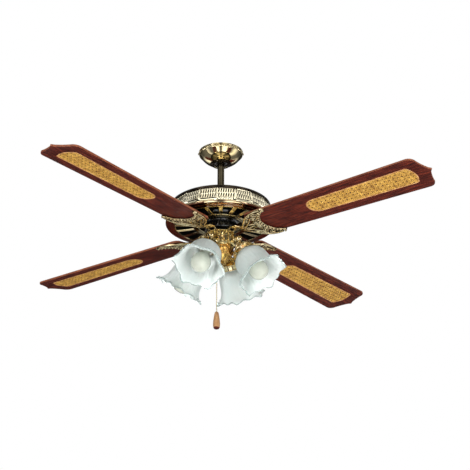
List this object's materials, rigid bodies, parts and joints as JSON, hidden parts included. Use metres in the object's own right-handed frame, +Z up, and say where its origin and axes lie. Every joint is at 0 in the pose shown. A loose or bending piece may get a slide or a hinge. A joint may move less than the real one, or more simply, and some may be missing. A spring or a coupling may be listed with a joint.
{
  "type": "ceiling fan with light",
  "caption": "Downrod ceiling fan: pitched cane-inlaid blades on cast scroll irons turn below a vented housing, over a cluster of tilted flared glass lamp shades with a pull chain.",
  "frame": {"origin": "centre of the ceiling bracket's top face, on the fan's axis, which is the ceiling plane", "axes": "+Z up into the ceiling along the fan's axis; +X along the bracket, in line with its two screw slots"},
  "size_m": [1.073, 1.073, 0.511],
  "materials": {
    "zinc_steel": "zinc-plated, satin",
    "polished_brass": "polished antique brass under clear lacquer",
    "copper_brass": "reddish antique brass, polished",
    "dark_bronze": "dark bronze plating, glossy",
    "grey_phenolic": "moulded, matt",
    "motor_black": "black enamel, semi-gloss",
    "laminations": "stacked electrical steel",
    "copper_wire": "enamelled copper wire",
    "cast_brass": "cast scrollwork, antiqued in the hollows and polished on top",
    "brass_screws": "plated screws",
    "mahogany": "dark red mahogany veneer, satin lacquer",
    "woven_cane": "woven cane webbing, ochre",
    "frosted_glass": "frosted white glass with faint ribs",
    "opal_glass": "opal white",
    "porcelain": "glazed lamp holder",
    "chain_brass": "beaded chain",
    "pale_wood": "turned light wood, satin"
  },
  "bodies": {
    "ceiling_mount": {"ceiling_bracket": "zinc_steel", "canopy": "polished_brass", "canopy_screws": "polished_brass", "terminal_block": "grey_phenolic"},
    "fan_frame": {"ball_pin": "zinc_steel", "bulb_1": "opal_glass", "bulb_2": "opal_glass", "bulb_3": "opal_glass", "bulb_4": "opal_glass", "chain_guide": "polished_brass", "clevis_pin": "zinc_steel", "downrod": "dark_bronze", "finial": "polished_brass", "glass_shade_1": "frosted_glass", "glass_shade_2": "frosted_glass", "glass_shade_3": "frosted_glass", "glass_shade_4": "frosted_glass", "hanger_ball": "grey_phenolic", "housing_cover": "copper_brass", "housing_dome": "polished_brass", "housing_screws": "polished_brass", "lamp_arms": "polished_brass", "lamp_cups": "polished_brass", "lamp_sockets": "porcelain", "light_fitter": "polished_brass", "motor_shaft": "zinc_steel", "motor_yoke": "zinc_steel", "pull_switch": "grey_phenolic", "reverse_switch": "grey_phenolic", "run_capacitor": "grey_phenolic", "set_screw": "zinc_steel", "stator_core": "laminations", "stator_windings": "copper_wire", "switch_housing": "polished_brass", "switch_plate": "zinc_steel", "thumbscrews": "polished_brass", "vent_band": "polished_brass", "yoke_cover": "polished_brass"},
    "rotor": {"rotor_case_lower": "motor_black", "rotor_case_upper": "motor_black", "rotor_ring": "laminations", "upper_bearing": "zinc_steel", "lower_bearing": "zinc_steel", "iron_screws": "brass_screws", "blade_screws": "brass_screws", "blade_iron_1": "cast_brass", "blade_iron_2": "cast_brass", "blade_iron_3": "cast_brass", "blade_iron_4": "cast_brass", "blade_1": "mahogany", "blade_2": "mahogany", "blade_3": "mahogany", "blade_4": "mahogany", "cane_panel_1": "woven_cane", "cane_panel_2": "woven_cane", "cane_panel_3": "woven_cane", "cane_panel_4": "woven_cane"},
    "pull_chain_body": {"pull_chain": "chain_brass", "chain_pendant": "pale_wood"},
    "reverse_knob": {"reverse_slider": "grey_phenolic"}
  },
  "joints": [
    {"name": "hanger_swing", "type": "hinge", "parent": "ceiling_mount", "child": "fan_frame", "pos_m": [0, 0, -0.022], "axis": [1, 0, 0], "range_deg": [-8, 8]},
    {"name": "rotor_spin", "type": "hinge", "parent": "fan_frame", "child": "rotor", "pos_m": [0, 0, -0.192], "axis": [0, 0, 1], "continuous": true},
    {"name": "chain_pull", "type": "slide", "parent": "fan_frame", "child": "pull_chain_body", "axis": [0, 0, -1], "range_m": [0, 0.008], "stiffness_N_per_m": 500, "springref_m": -0.002},
    {"name": "reverse_slide", "type": "slide", "parent": "fan_frame", "child": "reverse_knob", "axis": [0.342, 0.9397, 0], "range_m": [0, 0.005]}
  ]
}
